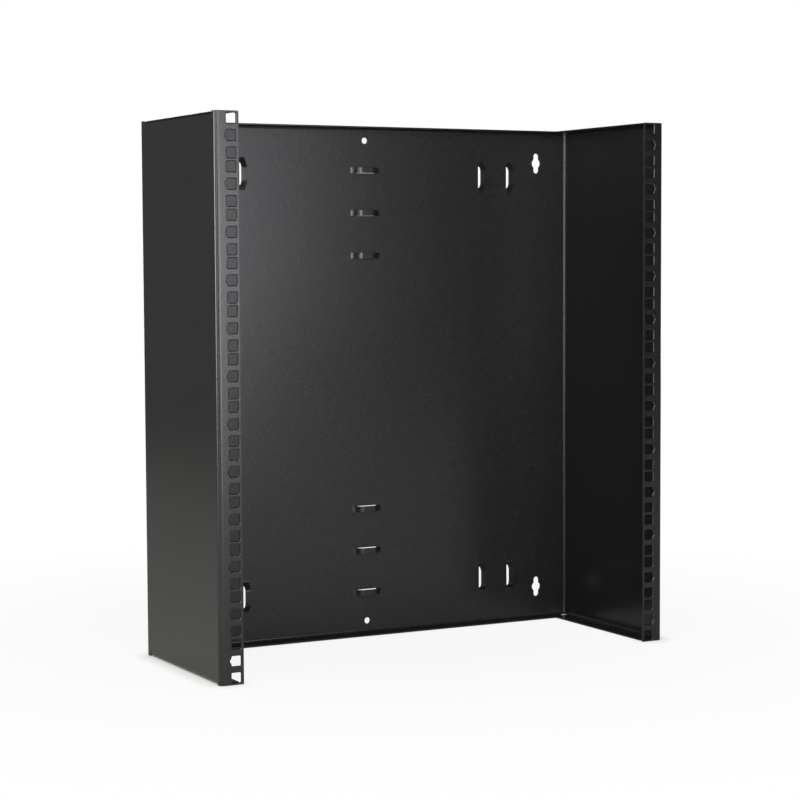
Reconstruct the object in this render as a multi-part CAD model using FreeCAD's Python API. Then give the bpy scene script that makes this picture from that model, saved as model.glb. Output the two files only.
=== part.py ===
import FreeCAD, Part
import math
import os

from FreeCAD import Vector

# Wall mount open frame rack: one sheet of steel, pierced, lanced and folded.
# The outer face of the back lies in Y = 0 with its centre at the origin. X runs to the right as
# seen from the front, the open front faces -Y and Z is up. All sizes are in millimetres.

# The sheet
SHEET = 1.5  # thickness
BEND = 3.2  # inside radius of every fold

# Standard spacing of 19 inch equipment
UNITS = 12  # equipment units in the height of the rack
UNIT_HEIGHT = 44.45  # height of one unit
HOLE_STEP = 15.875  # from a unit's middle hole to the one above it and the one below it
OPENING = 450.0  # clear width between the free edges of the two flanges
HOLE_INSET = 7.55  # from a flange's free edge to the line of hole centres
SQUARE_HOLE = 9.5  # width and height of a hole for a cage nut
HOLE_CORNER = 0.7  # flat across each corner of a square hole
MARK_RADIUS = 2.7  # round notch that marks the middle hole of each unit
MARK_DEPTH = 1.4  # how far that notch reaches past the side of its hole

# The folded outline
END_MARGIN = 0.4  # metal past the first and the last unit
FLANGE = 24.25  # width of a front flange over its bend
DEPTH = 186.5  # wall face to flange face
FLANGE_CORNER = 1.0  # radius of a flange's free corners

# The lips that stiffen the top and bottom edges
BACK_LIP = 16.0  # depth of the back's lip over its bend
SIDE_LIP = 22.0  # width of a side's lip over its bend
CORNER_LEG = 10.25  # wall that stays straight on both sides of a back corner
MITRE_GAP = 0.8  # between a back lip and a side lip, measured along X
LIP_SETBACK = 7.0  # from a flange's face to the front end of a side lip
RELIEF_WIDTH = 0.5  # slit that frees the end of a lip's bend
RELIEF_DEPTH = 0.5  # how far that slit reaches past the bend
CORNER_DROP = 0.4  # how far a back corner stays below the lips

# Wall fixings in the back
KEYHOLE_SIDE_INSET = 39.25  # keyhole centre to the outer face of the side
KEYHOLE_END_INSET = 34.6  # keyhole centre to the end of the rack
KEYHOLE_HEAD = 10.6  # diameter of the middle, which passes a screw's head
KEYHOLE_SLOT = 6.3  # width of the slots above and below it
KEYHOLE_LENGTH = 21.5  # from the top of the upper slot to the bottom of the lower one
WALL_HOLE = 6.5  # diameter of the two plain holes on the centre line
WALL_HOLE_INSET = 14.1  # from such a hole's centre to the end of the rack

# Bridges for cable ties, slit on two sides and drawn forward out of the back. The slits are
# shorter than the drawn form, so the lower half of each ramp keeps cheeks that join it to the back.
BRIDGE_WIDTH = 6.0
BRIDGE_RISE = 5.9  # how far a bridge stands in front of the back
BRIDGE_TOP = 17.0  # length of its flat, between the corners of its centreline
BRIDGE_SPAN = 29.0  # from foot to foot, between the corners of its centreline
BRIDGE_BEND = 6.5  # radius of its centreline at those four corners
BRIDGE_SLIT = 22.5  # length of the two slits beside it
BRIDGE_CHEEK = 1.0  # thickness of the cheeks past the ends of the slits
BRIDGE_FOOT = 1.0  # flat run past the bend at each foot, level with the back
LYING_ROWS = (1, 2, 3)  # units from each end to the lying bridges on the centre line
UPRIGHT_SIDE_INSET = 74.25  # outer upright bridge to the outer face of the side
UPRIGHT_STEP = 35.0  # outer to inner upright bridge
UPRIGHT_END_INSET = 50.3  # middle of an upright bridge to the end of the rack

# Worked out from the sizes above
HEIGHT = UNITS * UNIT_HEIGHT + 2 * END_MARGIN
WIDTH = OPENING + 2 * FLANGE
HALF_WIDTH = WIDTH / 2
HALF_HEIGHT = HEIGHT / 2
CENTRE_RADIUS = BEND + SHEET / 2
BEND_OUTSIDE = BEND + SHEET
LIP_FOOT = HALF_HEIGHT - BEND_OUTSIDE - RELIEF_DEPTH
BACK_LIP_END = HALF_WIDTH - CORNER_LEG
MITRE_RUN = (SIDE_LIP - BEND_OUTSIDE) / (BACK_LIP - BEND_OUTSIDE)  # along X for each mm along Y
HOLE_COLUMN = OPENING / 2 + HOLE_INSET
PAST = 5.0  # cutting tools stand this far past what they cut
NEAR = 1e-6  # lengths that differ by less are the same

ENDS = (-1, 1)  # bottom and top, or left and right


def left_of(way):
    """The direction a quarter turn to the left of another, in a section's own plane."""
    return Vector(-way.y, way.x, 0)


def setback(turn, radius):
    """Distance along a centreline from its corner to where the bend begins."""
    return radius * math.tan(abs(turn) / 2)


def bent_edges(points, shift, place, radius=CENTRE_RADIUS):
    """Lines and arcs of one face of the sheet, which lies shift to the left of its centreline."""
    ways = [(end - start).normalize() for start, end in zip(points, points[1:])]
    here = points[0] + left_of(ways[0]) * shift
    edges = []
    for corner, way_in, way_out in zip(points[1:-1], ways, ways[1:]):
        turn = math.atan2(way_in.cross(way_out).z, way_in.dot(way_out))
        inward = math.copysign(1, turn)
        begin = corner - way_in * setback(turn, radius)
        centre = begin + left_of(way_in) * inward * radius
        crown = (corner - centre).normalize() * (radius - inward * shift)
        arc_start = begin + left_of(way_in) * shift
        arc_end = corner + way_out * setback(turn, radius) + left_of(way_out) * shift
        edges.append(Part.LineSegment(place(here), place(arc_start)).toShape())
        edges.append(Part.Arc(place(arc_start), place(centre + crown), place(arc_end)).toShape())
        here = arc_end
    last = points[-1] + left_of(ways[-1]) * shift
    edges.append(Part.LineSegment(place(here), place(last)).toShape())
    return edges


def bent_section(corners, place):
    """Section of the sheet, bent round every inner corner of a centreline."""
    points = [Vector(u, v, 0) for u, v in corners]
    one_face = bent_edges(points, SHEET / 2, place)
    other_face = bent_edges(points, -SHEET / 2, place)
    caps = [
        Part.LineSegment(one_face[0].firstVertex().Point, other_face[0].firstVertex().Point),
        Part.LineSegment(one_face[-1].lastVertex().Point, other_face[-1].lastVertex().Point),
    ]
    edges = one_face + other_face + [cap.toShape() for cap in caps]
    return Part.Face(Part.Wire(Part.sortEdges(edges)[0]))


def box(low, high):
    """Block between two opposite corners."""
    size = [top - bottom for bottom, top in zip(low, high)]
    return Part.makeBox(size[0], size[1], size[2], Vector(low[0], low[1], low[2]))


def prism(outline, bottom, top):
    """Upright block with a plan outline of straight sides."""
    points = [Vector(x, y, bottom) for x, y in outline]
    face = Part.Face(Part.makePolygon(points + points[:1]))
    return face.extrude(Vector(0, 0, top - bottom))


def flipped(shape):
    """The same shape at the bottom end of the rack, or the top one for the bottom's."""
    return shape.mirror(Vector(0, 0, 0), Vector(0, 0, 1))


def swapped(shape):
    """The same shape on the left of the rack, or the right one for the left's."""
    return shape.mirror(Vector(0, 0, 0), Vector(1, 0, 0))


def all_corners(shape):
    """A shape of the upper right corner and its copies at the other three corners."""
    right = [shape, flipped(shape)]
    return right + [swapped(one) for one in right]


def edges_along(shape, way):
    """Straight edges of a shape that run along a direction."""
    found = []
    for edge in shape.Edges:
        start, end = edge.Vertexes[0].Point, edge.Vertexes[-1].Point
        if (end - start).Length > 0 and (end - start).cross(way).Length < NEAR:
            found.append(edge)
    return found


def wall():
    """Flange, side, back, side and flange, bent round the four upright bends."""
    side = HALF_WIDTH - SHEET / 2
    front = -DEPTH + SHEET / 2
    back = -SHEET / 2
    right_half = [(side, back), (side, front), (OPENING / 2, front)]
    left_half = [(-x, y) for x, y in reversed(right_half)]
    section = bent_section(left_half + right_half, lambda p: Vector(p.x, p.y, -HALF_HEIGHT))
    strip = section.extrude(Vector(0, 0, HEIGHT))
    free_corners = [
        edge
        for edge in edges_along(strip, Vector(0, 1, 0))
        if abs(edge.Length - SHEET) < NEAR and abs(abs(edge.CenterOfMass.x) - OPENING / 2) < NEAR
    ]
    return strip.makeFillet(FLANGE_CORNER, free_corners)


def mitre_x(y):
    """X of the mitre line between the lips of the right back corner, where it crosses a Y."""
    return HALF_WIDTH - BEND_OUTSIDE + (y + BEND_OUTSIDE) * MITRE_RUN


def mitre_y(x):
    """Y of the same line, where it crosses an X."""
    return (x - HALF_WIDTH + BEND_OUTSIDE) / MITRE_RUN - BEND_OUTSIDE


def back_lip():
    """Lip at the top of the back, folded forward, with a mitre at each end."""
    back = -SHEET / 2
    top = HALF_HEIGHT - SHEET / 2
    line = [(back, LIP_FOOT), (back, top), (-BACK_LIP, top)]
    section = bent_section(line, lambda p: Vector(-BACK_LIP_END, p.x, p.y))
    lip = section.extrude(Vector(2 * BACK_LIP_END, 0, 0))
    right_half = [
        (BACK_LIP_END, PAST),
        (BACK_LIP_END, mitre_y(BACK_LIP_END + MITRE_GAP / 2)),
        (mitre_x(-BACK_LIP) - MITRE_GAP / 2, -BACK_LIP),
    ]
    left_half = [(-x, y) for x, y in reversed(right_half)]
    return lip.common(prism(right_half + left_half, LIP_FOOT, HALF_HEIGHT))


def side_lip():
    """Lip at the top of the right side, folded inward, with a mitre at its rear end."""
    side = HALF_WIDTH - SHEET / 2
    top = HALF_HEIGHT - SHEET / 2
    inner = HALF_WIDTH - SIDE_LIP
    front = -DEPTH + LIP_SETBACK
    line = [(side, LIP_FOOT), (side, top), (inner, top)]
    section = bent_section(line, lambda p: Vector(p.x, front, p.y))
    lip = section.extrude(Vector(0, -CORNER_LEG - front, 0))
    outline = [
        (HALF_WIDTH + PAST, front),
        (inner, front),
        (inner, mitre_y(inner - MITRE_GAP / 2)),
        (mitre_x(-CORNER_LEG) + MITRE_GAP / 2, -CORNER_LEG),
        (HALF_WIDTH + PAST, -CORNER_LEG),
    ]
    return lip.common(prism(outline, LIP_FOOT, HALF_HEIGHT))


def edge_cuts():
    """What is cut off the wall's edges, so that the lips take its place."""
    back_end = BACK_LIP_END + RELIEF_WIDTH
    above = HALF_HEIGHT + PAST
    back = box((-back_end, -BEND_OUTSIDE, LIP_FOOT), (back_end, PAST, above))
    side = box(
        (HALF_WIDTH - BEND_OUTSIDE, -DEPTH + LIP_SETBACK - RELIEF_WIDTH, LIP_FOOT),
        (HALF_WIDTH + PAST, -CORNER_LEG + RELIEF_WIDTH, above),
    )
    corner = box(
        (back_end - PAST, -CORNER_LEG, HALF_HEIGHT - CORNER_DROP),
        (HALF_WIDTH + PAST, PAST, above),
    )
    return [back, flipped(back)] + all_corners(side) + all_corners(corner)


def square_hole(marked):
    """Cutting tool for a cage nut's hole at the origin, with its notch toward +X if marked."""
    half = SQUARE_HOLE / 2
    block = box((-half, -PAST, -half), (half, PAST, half))
    tool = block.makeChamfer(HOLE_CORNER, edges_along(block, Vector(0, 1, 0)))
    if marked:
        middle = Vector(half + MARK_DEPTH - MARK_RADIUS, -PAST, 0)
        tool = tool.fuse(Part.makeCylinder(MARK_RADIUS, 2 * PAST, middle, Vector(0, 1, 0)))
    return tool


def rail_holes():
    """The column of square holes in each flange, three to a unit."""
    plain = square_hole(False)
    marked = square_hole(True)
    holes = []
    for unit in range(UNITS):
        middle = (unit + 0.5 - UNITS / 2) * UNIT_HEIGHT
        for step in (-1, 0, 1):
            tool = plain if step else marked
            place = Vector(HOLE_COLUMN, -DEPTH, middle + step * HOLE_STEP)
            holes.append(tool.translated(place))
    return holes + [swapped(hole) for hole in holes]


def round_hole(diameter, x, z):
    """Cutting tool for a round hole through the back."""
    return Part.makeCylinder(diameter / 2, 2 * PAST, Vector(x, -PAST, z), Vector(0, 1, 0))


def wall_holes():
    """Plain hole at the top of the centre line and its twin at the bottom."""
    hole = round_hole(WALL_HOLE, 0, HALF_HEIGHT - WALL_HOLE_INSET)
    return [hole, flipped(hole)]


def keyholes():
    """Round middles with a slot above and below, so that the rack hangs either way up."""
    x = HALF_WIDTH - KEYHOLE_SIDE_INSET
    z = HALF_HEIGHT - KEYHOLE_END_INSET
    reach = (KEYHOLE_LENGTH - KEYHOLE_SLOT) / 2
    half = KEYHOLE_SLOT / 2
    slot = box((x - half, -PAST, z - reach), (x + half, PAST, z + reach))
    rounds = [round_hole(KEYHOLE_SLOT, x, z + end * reach) for end in ENDS]
    hole = round_hole(KEYHOLE_HEAD, x, z).fuse([slot] + rounds).removeSplitter()
    return all_corners(hole)


def behind_bridge(face_shift, half_width, back_level):
    """Prism from one face of a bridge's sheet, lying along X, back to a level plane."""
    level = -SHEET / 2
    run = (BRIDGE_SPAN - BRIDGE_TOP) / 2
    bend_run = setback(math.atan2(BRIDGE_RISE, run), BRIDGE_BEND)
    right_half = [
        (BRIDGE_TOP / 2, level - BRIDGE_RISE),
        (BRIDGE_SPAN / 2, level),
        (BRIDGE_SPAN / 2 + bend_run + BRIDGE_FOOT, level),
    ]
    left_half = [(-x, y) for x, y in reversed(right_half)]
    points = [Vector(x, y, 0) for x, y in left_half + right_half]
    line = bent_edges(points, face_shift, lambda p: Vector(p.x, p.y, -half_width), BRIDGE_BEND)
    start, end = line[0].firstVertex().Point, line[-1].lastVertex().Point
    corners = [end, Vector(end.x, back_level, end.z), Vector(start.x, back_level, start.z), start]
    rest = [Part.LineSegment(a, b).toShape() for a, b in zip(corners, corners[1:])]
    outline = Part.Wire(Part.sortEdges(line + rest)[0])
    return Part.Face(outline).extrude(Vector(0, 0, 2 * half_width))


def bridge_form():
    """The drawn form of a bridge, solid down to the outer face of the back."""
    return behind_bridge(-SHEET / 2, BRIDGE_WIDTH / 2, 0)


def bridge_hollow():
    """What is open behind a bridge: right across between the slits, and between its cheeks."""
    across = BRIDGE_WIDTH / 2
    between_slits = box((-BRIDGE_SLIT / 2, -DEPTH, -across), (BRIDGE_SLIT / 2, PAST, across))
    open_middle = behind_bridge(SHEET / 2, across, PAST).common(between_slits)
    return behind_bridge(SHEET / 2, across - BRIDGE_CHEEK, PAST).fuse(open_middle)


def at_bridge_places(shape):
    """Copies of a shape at every bridge: lying ones on the centre line, upright ones beside."""
    lying = []
    for row in LYING_ROWS:
        place = Vector(0, 0, (UNITS / 2 - row) * UNIT_HEIGHT)
        lying.append(shape.translated(place))
    upright = []
    turned = shape.rotated(Vector(0, 0, 0), Vector(0, 1, 0), 90)
    for inset in (UPRIGHT_SIDE_INSET, UPRIGHT_SIDE_INSET + UPRIGHT_STEP):
        place = Vector(HALF_WIDTH - inset, 0, HALF_HEIGHT - UPRIGHT_END_INSET)
        upright += all_corners(turned.translated(place))
    return lying + [flipped(one) for one in lying] + upright


def folded_frame():
    """The whole rack: the pierced wall with its lips and bridges, as one solid."""
    pierced = wall().cut(edge_cuts() + rail_holes() + wall_holes() + keyholes())
    lips = [back_lip(), flipped(back_lip())] + all_corners(side_lip())
    formed = pierced.fuse(lips + at_bridge_places(bridge_form()))
    frame = formed.cut(at_bridge_places(bridge_hollow())).removeSplitter()
    return frame.Solids[0] if len(frame.Solids) == 1 else frame


os.makedirs("parts", exist_ok=True)
frame = folded_frame()
frame.exportStep("parts/folded_frame.step")
bounds = frame.BoundBox
print("folded_frame: solids", len(frame.Solids), "valid", frame.isValid(), "faces", len(frame.Faces))
print("size", round(bounds.XLength, 3), round(bounds.YLength, 3), round(bounds.ZLength, 3))
print("volume in litres", round(frame.Volume / 1e6, 4))
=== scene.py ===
# %% [markdown]
# A wall mount open frame rack is a single sheet of steel. It is punched while flat, its cable
# bridges are pressed out, it is folded into a shallow channel with two front flanges, and it is
# powder coated black. This lesson keeps the folded sheet at its measured size, softens the edges
# as a thick coat of powder does, and gives it the satin, finely textured finish of the real one.

import math

import bmesh
import bpy
from mathutils import Matrix, Vector


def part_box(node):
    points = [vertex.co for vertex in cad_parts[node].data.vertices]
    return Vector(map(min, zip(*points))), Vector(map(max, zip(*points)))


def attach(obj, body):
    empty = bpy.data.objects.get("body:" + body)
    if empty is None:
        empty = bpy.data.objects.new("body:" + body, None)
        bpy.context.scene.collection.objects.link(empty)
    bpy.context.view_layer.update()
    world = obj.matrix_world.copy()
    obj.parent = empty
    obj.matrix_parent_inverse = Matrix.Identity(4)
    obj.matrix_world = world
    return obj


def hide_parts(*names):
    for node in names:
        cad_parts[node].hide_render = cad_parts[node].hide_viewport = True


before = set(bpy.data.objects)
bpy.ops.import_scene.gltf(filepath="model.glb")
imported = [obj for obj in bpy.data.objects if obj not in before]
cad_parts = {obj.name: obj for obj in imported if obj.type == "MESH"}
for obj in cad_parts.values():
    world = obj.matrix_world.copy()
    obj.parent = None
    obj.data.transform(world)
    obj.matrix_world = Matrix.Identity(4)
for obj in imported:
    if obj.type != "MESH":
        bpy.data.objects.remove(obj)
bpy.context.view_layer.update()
MM = 0.001
NODE = "folded_frame"
SLOT = "black_powder_coat"
LOW, HIGH = (Vector(corner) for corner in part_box(NODE))
print("folded sheet, in mm:", [round(side / MM, 1) for side in HIGH - LOW])

# %% [markdown]
# The camera comes first, because every look is judged through it. The square holes repeat at a
# standard spacing, so the place of a real camera can be worked out from where they land in a
# picture: it stood to the left of the rack, two metres in front and a little above its middle.

# %% The camera
SENSOR_WIDTH = 36.0  # mm
FOCAL_LENGTH = 97.34  # mm
CAMERA_PLACE = Vector((-1037.4, -2026.0, 133.6)) * MM
CAMERA_YAW = math.radians(-28.031)
CAMERA_PITCH = math.radians(-4.081)
CAMERA_ROLL = math.radians(0.269)
FRAMING_SHIFT = 0.01185  # the picture was cropped slightly off its own centre

camera_data = bpy.data.cameras.new("camera")
camera_data.sensor_width = SENSOR_WIDTH
camera_data.lens = FOCAL_LENGTH
camera_data.shift_y = FRAMING_SHIFT
camera = bpy.data.objects.new("camera", camera_data)
bpy.context.scene.collection.objects.link(camera)
turn = (
    Matrix.Rotation(CAMERA_YAW, 4, "Z")
    @ Matrix.Rotation(CAMERA_PITCH, 4, "X")
    @ Matrix.Rotation(CAMERA_ROLL, 4, "Y")
    @ Matrix.Rotation(math.pi / 2, 4, "X")
)
camera.matrix_world = Matrix.Translation(CAMERA_PLACE) @ turn
bpy.context.scene.camera = camera
print("camera at", [round(value, 3) for value in camera.location])

# %% [markdown]
# A small class turns sockets into numbers that can be added and multiplied, so that a pattern or a
# shape reads like a formula. It serves materials and geometry alike, because both have the same
# maths node. Every other node comes from one method, which sets the node's own settings first and
# then fills its sockets with values or links.

# %% Maths on sockets


class Signal:
    """An output socket of a node tree, usable in sums and products."""

    def __init__(self, board, socket):
        self.board = board
        self.socket = socket

    def combined(self, operation, first, second):
        return self.board.node("ShaderNodeMath", {"operation": operation}, {0: first, 1: second})

    def __add__(self, other):
        return self.combined("ADD", self, other)

    def __radd__(self, other):
        return self.combined("ADD", other, self)

    def __sub__(self, other):
        return self.combined("SUBTRACT", self, other)

    def __rsub__(self, other):
        return self.combined("SUBTRACT", other, self)

    def __mul__(self, other):
        return self.combined("MULTIPLY", self, other)

    def __rmul__(self, other):
        return self.combined("MULTIPLY", other, self)

    def __truediv__(self, other):
        return self.combined("DIVIDE", self, other)

    def beside(self, name):
        """Another output of the same node."""
        return Signal(self.board, self.socket.node.outputs[name])


class Board:
    """A node tree that is filled one call at a time."""

    def __init__(self, tree):
        self.tree = tree
        self.tree.nodes.clear()

    def node(self, kind, settings=None, sockets=None, output=0):
        """Adds a node of a kind and returns one of its outputs."""
        node = self.tree.nodes.new(kind)
        for name, value in (settings or {}).items():
            setattr(node, name, value)
        for name, value in (sockets or {}).items():
            if isinstance(value, Signal):
                self.tree.links.new(value.socket, node.inputs[name])
            else:
                node.inputs[name].default_value = value
        return Signal(self, node.outputs[output]) if node.outputs else None


class Finish(Board):
    """A material made of nodes."""

    def __init__(self, name):
        self.material = bpy.data.materials.new(name)
        self.material.use_nodes = True
        super().__init__(self.material.node_tree)


class Recipe(Board):
    """A Geometry Nodes tree with named inputs for its sizes."""

    def __init__(self, name):
        super().__init__(bpy.data.node_groups.new(name, "GeometryNodeTree"))
        self.values = {}
        self.tree.interface.new_socket("Geometry", in_out="INPUT", socket_type="NodeSocketGeometry")
        self.tree.interface.new_socket("Geometry", in_out="OUTPUT", socket_type="NodeSocketGeometry")
        self.entry = self.tree.nodes.new("NodeGroupInput")

    def given(self, name, value, kind="NodeSocketFloat"):
        """Adds a named input, and returns it for use in the tree."""
        entry = self.tree.interface.new_socket(name, in_out="INPUT", socket_type=kind)
        self.values[entry.identifier] = value
        return Signal(self, self.entry.outputs[name])

    def start(self):
        """The mesh that the tree is applied to."""
        return Signal(self, self.entry.outputs["Geometry"])

    def end(self, geometry):
        """Hands the finished mesh over."""
        self.node("NodeGroupOutput", None, {"Geometry": geometry})

    def apply(self, piece):
        """Adds the tree to a piece as a modifier, with its input values."""
        modifier = piece.modifiers.new(self.tree.name, "NODES")
        modifier.node_group = self.tree
        for identifier, value in self.values.items():
            modifier[identifier] = value


def wave(operation, angle):
    """Sine, cosine or sign of a number."""
    return angle.board.node("ShaderNodeMath", {"operation": operation}, {0: angle})


# %% [markdown]
# The finish is a fine textured powder coat: near black, satin, with a shallow pebbled surface that
# scatters highlights into a faint sparkle. Three noise patterns make it: pebbles of about half a
# millimetre, the orange peel that a cured coat has over a few millimetres, and the slow unevenness
# of a sprayed coat over a hand's width. The first two are heights, added up in metres for one bump
# node, and the last two make the colour a little lighter and darker. All read object coordinates,
# so the pattern keeps its scale on every fold.

# %% The powder coat
COAT_COLOUR = (0.012, 0.012, 0.0126)
COAT_ROUGHNESS = 0.22
PEBBLES_PER_METRE = 1500.0
PEBBLE_HEIGHT = 0.03 * MM
PEBBLE_ROUGHNESS = 0.12  # how much rougher a high pebble is than a low one
PEEL_PER_METRE = 300.0
PEEL_HEIGHT = 0.04 * MM
PEEL_CONTRAST = 0.9  # how much the colour gains from the lowest value of the noise to the highest
CLOUDS_PER_METRE = 9.0
CLOUD_CONTRAST = 0.3


def noise(finish, place, per_metre, detail, roughness):
    """Random pattern between 0 and 1, with a given number of bumps to a metre."""
    return finish.node(
        "ShaderNodeTexNoise",
        {"noise_dimensions": "3D"},
        {"Vector": place, "Scale": per_metre, "Detail": detail, "Roughness": roughness},
    )


def powder_coat():
    """Satin black powder coat with a fine pebbled surface."""
    finish = Finish(SLOT)
    place = finish.node("ShaderNodeTexCoord", output="Object")
    pebbles = noise(finish, place, PEBBLES_PER_METRE, detail=2.0, roughness=0.6)
    peel = noise(finish, place, PEEL_PER_METRE, detail=1.0, roughness=0.5)
    clouds = noise(finish, place, CLOUDS_PER_METRE, detail=3.0, roughness=0.5)
    lightness = 1 + PEEL_CONTRAST * (peel - 0.5) + CLOUD_CONTRAST * (clouds - 0.5)
    colour = finish.node(
        "ShaderNodeVectorMath", {"operation": "SCALE"}, {0: COAT_COLOUR, "Scale": lightness}
    )
    bump = finish.node(
        "ShaderNodeBump",
        None,
        {"Strength": 1.0, "Distance": 1.0, "Height": PEBBLE_HEIGHT * pebbles + PEEL_HEIGHT * peel},
    )
    surface = finish.node(
        "ShaderNodeBsdfPrincipled",
        None,
        {
            "Base Color": colour,
            "Roughness": COAT_ROUGHNESS + PEBBLE_ROUGHNESS * (pebbles - 0.5),
            "Normal": bump,
        },
    )
    finish.node("ShaderNodeOutputMaterial", None, {"Surface": surface})
    return finish.material


coat = powder_coat()
print("powder coat made of", len(coat.node_tree.nodes), "nodes")

# %% [markdown]
# The sheet arrives as loose triangles. A copy of it is welded into one closed skin, its flat faces
# are cleared of needless edges, and a narrow bevel rounds every cut edge, because powder never
# leaves a sharp one. The limit of the bevel lies between the facets of a fold and a true edge.

# %% The softened sheet
EDGE_SOFTENING = 0.15 * MM
EDGE_SEGMENTS = 2
EDGE_LIMIT = math.radians(30)
WELD_DISTANCE = 0.002 * MM
FLAT_LIMIT = math.radians(1)


def softened_sheet(finish):
    """Welded copy of the folded sheet whose edges get a narrow bevel."""
    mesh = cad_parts[NODE].data.copy()
    mesh.materials.clear()
    mesh.materials.append(finish)
    skin = bmesh.new()
    skin.from_mesh(mesh)
    bmesh.ops.remove_doubles(skin, verts=skin.verts, dist=WELD_DISTANCE)
    bmesh.ops.dissolve_limit(skin, angle_limit=FLAT_LIMIT, verts=skin.verts, edges=skin.edges)
    skin.to_mesh(mesh)
    skin.free()
    piece = bpy.data.objects.new("softened_sheet", mesh)
    bpy.context.scene.collection.objects.link(piece)
    bevel = piece.modifiers.new("edge_softening", "BEVEL")
    bevel.width = EDGE_SOFTENING
    bevel.segments = EDGE_SEGMENTS
    bevel.limit_method = "ANGLE"
    bevel.angle_limit = EDGE_LIMIT
    bevel.use_clamp_overlap = False
    return piece


sheet = softened_sheet(coat)
print("welded sheet:", len(sheet.data.polygons), "faces before its bevel")

# %% [markdown]
# A punch pulls the steel in with it before it cuts, so each square hole has a rolled-in rim on the
# front. Geometry Nodes make it: a flared punch with rounded corners is drawn by a formula, stood on
# every place of the standard hole pattern, and taken away from the sheet. The pattern is a rule,
# three holes to a unit and twelve units to a column, so it is three lines of points inside each
# other. A second, round punch does the same for the notch that marks the middle of each unit.

# %% The punched rims
UNITS = 12
UNIT_HEIGHT = 44.45 * MM
HOLES_PER_UNIT = 3
HOLE_STEP = 15.875 * MM
COLUMNS = 2
COLUMN_SPACING = 465.1 * MM
HOLE_WIDTH = 9.5 * MM
HOLE_CORNER = 1.2 * MM
MARK_RADIUS = 2.7 * MM
MARK_DEPTH = 1.4 * MM
RIM_RADIUS = 1.1 * MM
PUNCH_SIDES = 20
PUNCH_RINGS = 5
CLEARANCE = 0.01 * MM


def line_of(recipe, count, spacing, axis):
    """A row of points, evenly spaced about the middle."""
    direction = Vector((axis == "X", axis == "Y", axis == "Z"))
    half_length = -0.5 * (count - 1) * spacing
    scale = {"operation": "SCALE"}
    start = recipe.node("ShaderNodeVectorMath", scale, {0: direction, "Scale": half_length})
    step = recipe.node("ShaderNodeVectorMath", scale, {0: direction, "Scale": spacing})
    return recipe.node(
        "GeometryNodeMeshLine", None, {"Count": count, "Start Location": start, "Offset": step}
    )


def stood_on(recipe, points, piece):
    """One copy of a piece on every point, as real geometry."""
    copies = recipe.node("GeometryNodeInstanceOnPoints", None, {"Points": points, "Instance": piece})
    return recipe.node("GeometryNodeRealizeInstances", None, {"Geometry": copies})


def punch(recipe, front, half_width, corner, rim):
    """Flared punch with rounded corners that leaves a rolled-in rim."""
    blank = recipe.node(
        "GeometryNodeMeshCylinder",
        {"fill_type": "NGON"},
        {"Vertices": PUNCH_SIDES, "Side Segments": PUNCH_RINGS, "Radius": 1.0, "Depth": 1.0},
    )
    turned = recipe.node(
        "GeometryNodeTransform",
        None,
        {"Geometry": blank, "Rotation": (0, 0, math.pi / PUNCH_SIDES)},
    )
    place = recipe.node("GeometryNodeInputPosition")
    parts = recipe.node("ShaderNodeSeparateXYZ", None, {0: place})
    across = parts.beside("X")
    up = parts.beside("Y")
    level = parts.beside("Z") + 0.5
    turn = level * (math.pi / 2)
    flare = rim * (1 - wave("COSINE", turn)) - CLEARANCE
    depth = rim * (1 - wave("SINE", turn)) - CLEARANCE
    straight = half_width - corner
    x = straight * wave("SIGN", across) + across * (corner + flare)
    z = straight * wave("SIGN", up) + up * (corner + flare)
    formed = recipe.node("ShaderNodeCombineXYZ", None, {"X": x, "Y": front + depth, "Z": z})
    return recipe.node("GeometryNodeSetPosition", None, {"Geometry": turned, "Position": formed})


def punched_rims(finish):
    """Tree that rolls in the rims of all square holes and their marks."""
    recipe = Recipe("punched_rims")
    units = recipe.given("Units", UNITS, "NodeSocketInt")
    unit_height = recipe.given("Unit Height", UNIT_HEIGHT)
    hole_step = recipe.given("Hole Step", HOLE_STEP)
    columns = recipe.given("Column Spacing", COLUMN_SPACING)
    front = recipe.given("Front Face", LOW.y)
    width = recipe.given("Hole Width", HOLE_WIDTH)
    corner = recipe.given("Hole Corner", HOLE_CORNER)
    rim = recipe.given("Rim Radius", RIM_RADIUS)
    mark_radius = recipe.given("Mark Radius", MARK_RADIUS)
    mark_depth = recipe.given("Mark Depth", MARK_DEPTH)

    unit_places = line_of(recipe, units, unit_height, "Z")
    unit_of_holes = line_of(recipe, HOLES_PER_UNIT, hole_step, "Z")
    hole_places = stood_on(recipe, unit_places, unit_of_holes)
    holes = stood_on(recipe, line_of(recipe, COLUMNS, columns, "X"), hole_places)
    mark_columns = columns + width + 2 * mark_depth - 2 * mark_radius
    marks = stood_on(recipe, line_of(recipe, COLUMNS, mark_columns, "X"), unit_places)

    square_punch = punch(recipe, front, width / 2, corner, rim)
    round_punch = punch(recipe, front, mark_radius, mark_radius, rim)
    punched = recipe.start()
    for places, tool in ((holes, square_punch), (marks, round_punch)):
        tools = stood_on(recipe, places, tool)
        punched = recipe.node(
            "GeometryNodeMeshBoolean",
            {"operation": "DIFFERENCE", "solver": "MANIFOLD"},
            {"Mesh 1": punched, "Mesh 2": tools},
        )
    place = recipe.node("GeometryNodeInputPosition")
    limited = recipe.node(
        "ShaderNodeVectorMath", {"operation": "MINIMUM"}, {0: place, 1: (HIGH.x, HIGH.y, HIGH.z)}
    )
    kept = recipe.node("GeometryNodeSetPosition", None, {"Geometry": punched, "Position": limited})
    whole = recipe.node("GeometryNodeRealizeInstances", None, {"Geometry": kept})
    smooth = recipe.node("GeometryNodeSetShadeSmooth", {"domain": "FACE"}, {"Geometry": whole})
    recipe.end(recipe.node("GeometryNodeSetMaterial", None, {"Geometry": smooth, "Material": finish}))
    return recipe


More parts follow.
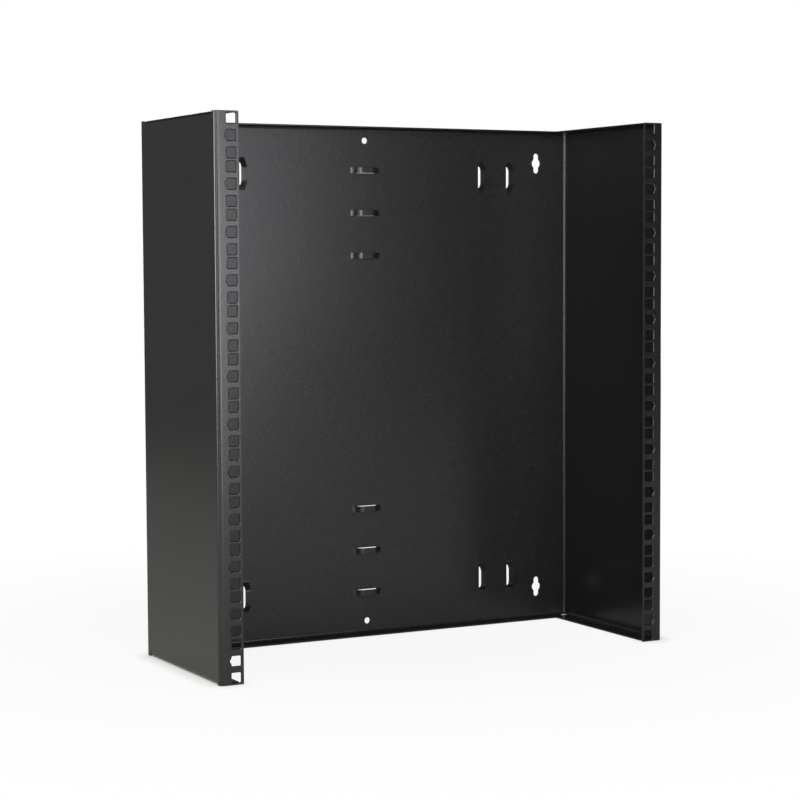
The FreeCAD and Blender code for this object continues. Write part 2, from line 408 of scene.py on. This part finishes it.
punched_rims(coat).apply(sheet)
marks_in_all = COLUMNS * UNITS
print("punches stand at", HOLES_PER_UNIT * marks_in_all, "square holes and", marks_in_all, "marks")

# %% [markdown]
# Large flat faces meet narrow bevels here. Plain smooth shading would spread the slope of a bevel
# over the whole face, so the normals are weighted by the size of the faces. Then everything is
# turned into one plain mesh that rides on the body and stands for the folded sheet.

# %% The finished sheet
def finished_piece(draft, name):
    """Plain mesh of a draft with its modifiers applied."""
    shading = draft.modifiers.new("even_shading", "WEIGHTED_NORMAL")
    shading.mode = "FACE_AREA"
    shading.weight = 100
    shading.keep_sharp = True
    state = bpy.context.evaluated_depsgraph_get()
    mesh = bpy.data.meshes.new_from_object(
        draft.evaluated_get(state), preserve_all_data_layers=True, depsgraph=state
    )
    mesh.name = name
    bpy.data.objects.remove(draft)
    piece = bpy.data.objects.new(name, mesh)
    bpy.context.scene.collection.objects.link(piece)
    return piece


dressed_frame = finished_piece(sheet, "dressed_frame")
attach(dressed_frame, "root")
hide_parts(NODE)
print("dressed sheet:", len(dressed_frame.data.polygons), "faces,", dressed_frame.data.materials[:])

# %% [markdown]
# The stage is a pale floor and a white world. Both look white to the camera, while the light that
# they throw on the rack stays at the level of a plain studio. The floor's light is slightly warm,
# so the lower parts of the rack are a little less blue than the upper ones.

# %% The stage
FLOOR_SIZE = 12.0
FLOOR_COLOUR = (0.78, 0.77, 0.68, 1.0)
SHADOW_REACH = 0.9  # metres from the rack to where its shadow has faded to white
SHADOW_STRENGTH = 0.14
CONTACT_REACH = 0.02  # metres from the rack's edge to where the floor is as bright as elsewhere


def floor_finish():
    """Pale floor that the camera sees as white, with the rack's shadow on it."""
    finish = Finish("floor")
    seen = finish.node("ShaderNodeLightPath", output="Is Camera Ray")
    place = finish.node("ShaderNodeTexCoord", output="Object")
    distance = finish.node("ShaderNodeVectorMath", {"operation": "LENGTH"}, {0: place}, "Value")
    near = finish.node(
        "ShaderNodeMapRange",
        {"interpolation_type": "SMOOTHSTEP"},
        {"Value": distance, "From Max": SHADOW_REACH, "To Min": SHADOW_STRENGTH, "To Max": 0.0},
    )
    openness = finish.node(
        "ShaderNodeAmbientOcclusion", {"samples": 8}, {"Distance": CONTACT_REACH}, "AO"
    )
    matt = finish.node("ShaderNodeBsdfDiffuse", None, {"Color": FLOOR_COLOUR})
    white = finish.node("ShaderNodeEmission", None, {"Color": (1, 1, 1, 1), "Strength": 1.0})
    whiteness = seen * openness * (1 - near)
    mixed = finish.node("ShaderNodeMixShader", None, {0: whiteness, 1: matt, 2: white})
    finish.node("ShaderNodeOutputMaterial", None, {"Surface": mixed})
    return finish.material


floor_mesh = bpy.data.meshes.new("floor")
half = FLOOR_SIZE / 2
corners = [(-half, -half), (half, -half), (half, half), (-half, half)]
floor_mesh.from_pydata([(x, y, LOW.z) for x, y in corners], [], [(0, 1, 2, 3)])
floor_mesh.materials.append(floor_finish())
floor = bpy.data.objects.new("floor", floor_mesh)
bpy.context.scene.collection.objects.link(floor)
print("floor at", round(LOW.z / MM, 1), "mm, under the lowest edge of the sheet")

# %% The world
WORLD_LIGHT = 0.01


def studio_world():
    """Dim even light from all round, seen by the camera as white."""
    world = bpy.data.worlds.new("studio")
    world.use_nodes = True
    board = Board(world.node_tree)
    seen = board.node("ShaderNodeLightPath", output="Is Camera Ray")
    fill = board.node(
        "ShaderNodeBackground", None, {"Color": (1, 1, 1, 1), "Strength": WORLD_LIGHT}
    )
    white = board.node("ShaderNodeBackground", None, {"Color": (1, 1, 1, 1), "Strength": 1.0})
    mixed = board.node("ShaderNodeMixShader", None, {0: seen, 1: fill, 2: white})
    board.node("ShaderNodeOutputWorld", None, {"Surface": mixed})
    return world


bpy.context.scene.world = studio_world()
bpy.context.scene.view_settings.view_transform = "Standard"
print("world light on the rack:", WORLD_LIGHT, "of the white that the camera sees")

# %% [markdown]
# Black steel shows little of its own colour. What shapes it is the soft boxes that it mirrors, so
# they stand where such a picture has them. Three low in front light the left flange and let the
# back fall off to the right. Wide ones above the camera, on the left and far round the side run
# along every fold as a bright line. A faint one behind and a small one close by fill in what is
# left. The last two stand far round to the right and to the rear, and show the outer faces that
# the camera doesn't see. All have the slightly cool white of daylight.

# %% The lamps
AIM = Vector((0, -0.09, 0))
DAYLIGHT = (0.955, 0.965, 1.0)
FAR = 2.6
CLOSE = 1.1
WIDEST = 1.3
WIDE = 1.0
NARROW = 0.7
SMALL = 0.5


def soft_box(name, azimuth, elevation, power, size=WIDE, distance=FAR):
    """Square lamp that faces the rack, with its angles in degrees, its power in watts and the rest
    in metres. Azimuth 0 is straight in front, and 90 is on the right."""
    data = bpy.data.lights.new(name, "AREA")
    data.shape = "SQUARE"
    data.size = size
    data.energy = power
    data.color = DAYLIGHT
    turn = math.radians(azimuth)
    rise = math.radians(elevation)
    way = Vector(
        (math.sin(turn) * math.cos(rise), -math.cos(turn) * math.cos(rise), math.sin(rise))
    )
    box = bpy.data.objects.new(name, data)
    box.location = AIM + way * distance
    box.rotation_euler = (-way).to_track_quat("-Z", "Y").to_euler()
    box.visible_camera = False
    bpy.context.scene.collection.objects.link(box)


soft_box("front_box", 3, 2, 9.4, NARROW)
soft_box("front_right_box", 10, 2, 6.5, NARROW)
soft_box("right_box", 17, 6, 3.7, NARROW)
soft_box("camera_box", -15, 8, 16.3)
soft_box("high_box", -15, 28, 20.8)
soft_box("left_box", -55, 8, 11.3)
soft_box("side_box", -95, 8, 35.1)
soft_box("back_box", -150, 10, 0.8, WIDEST)
soft_box("near_left_box", -45, 30, 3.2, SMALL, CLOSE)
soft_box("far_right_box", 115, 8, 15.0)
soft_box("rear_box", 165, 8, 15.0)
lamps = [piece for piece in bpy.data.objects if piece.type == "LIGHT"]
print("lamps:", [lamp.name for lamp in lamps])
